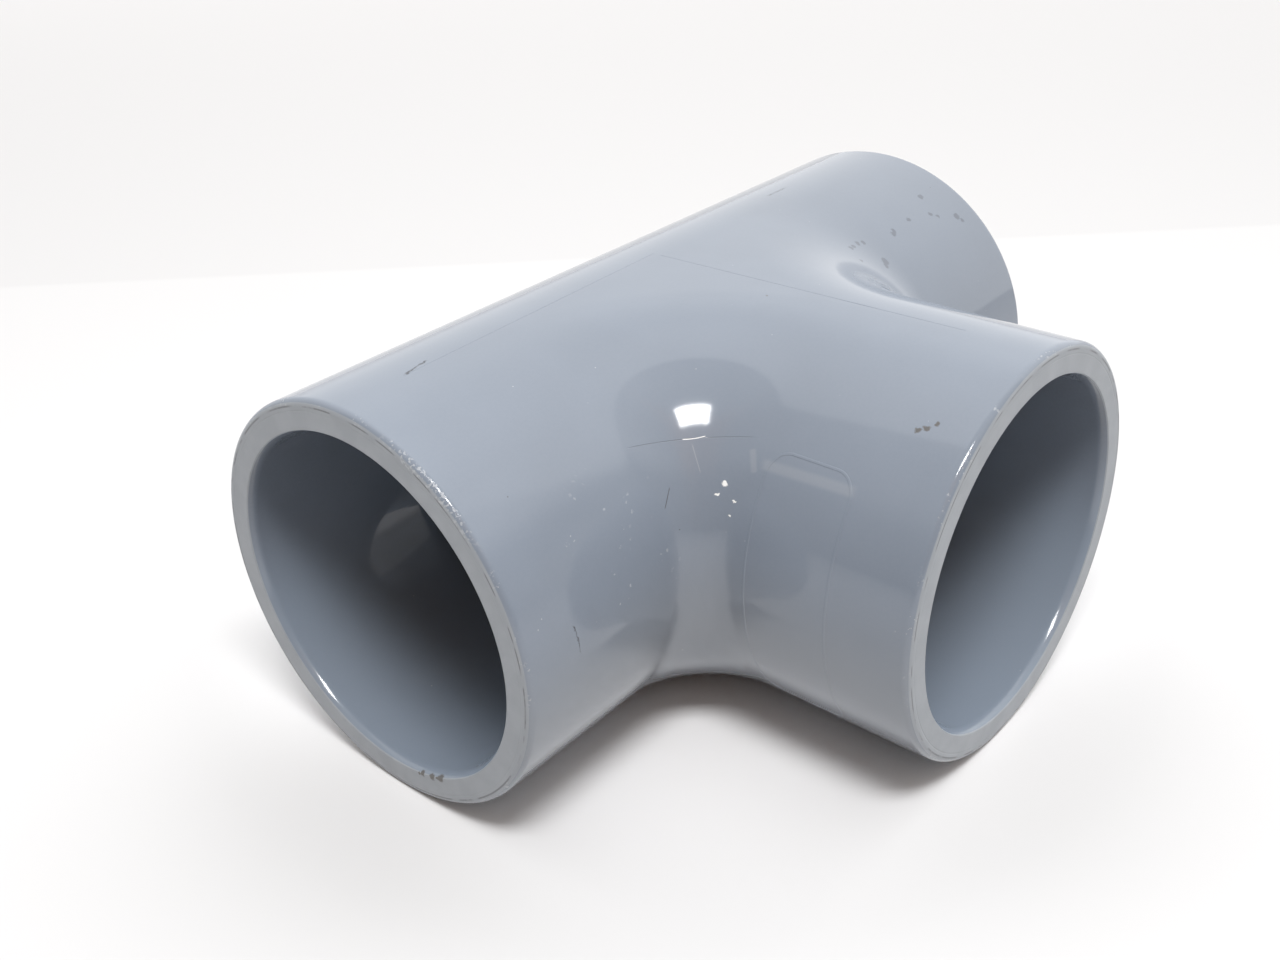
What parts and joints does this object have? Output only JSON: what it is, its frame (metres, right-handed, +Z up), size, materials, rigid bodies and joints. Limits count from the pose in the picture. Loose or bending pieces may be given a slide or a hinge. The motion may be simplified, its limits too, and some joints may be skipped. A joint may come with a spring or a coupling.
{
  "type": "pipe tee",
  "caption": "Grey plastic socket pipe tee: a straight run with a branch at right angles, three plain sockets for solvent-welded pipe and smooth rounded crotches.",
  "frame": {"origin": "middle of the bounding box's base; the tee lies flat on its three hubs, so z = 0 is the surface it rests on. The axes of the run and the branch cross at (0, +0.01945, +0.036) m", "axes": "+X along the run, from socket A to socket B; -Y is the way the branch points; +Z up, square to the plane that holds both axes"},
  "size_m": [0.1498, 0.1108, 0.072],
  "materials": {
    "body": "moulded grey plastic, semi-gloss, lightly scuffed, machined-looking matte end faces"
  },
  "bodies": {
    "root": {"tee_body": "body"}
  },
  "joints": []
}
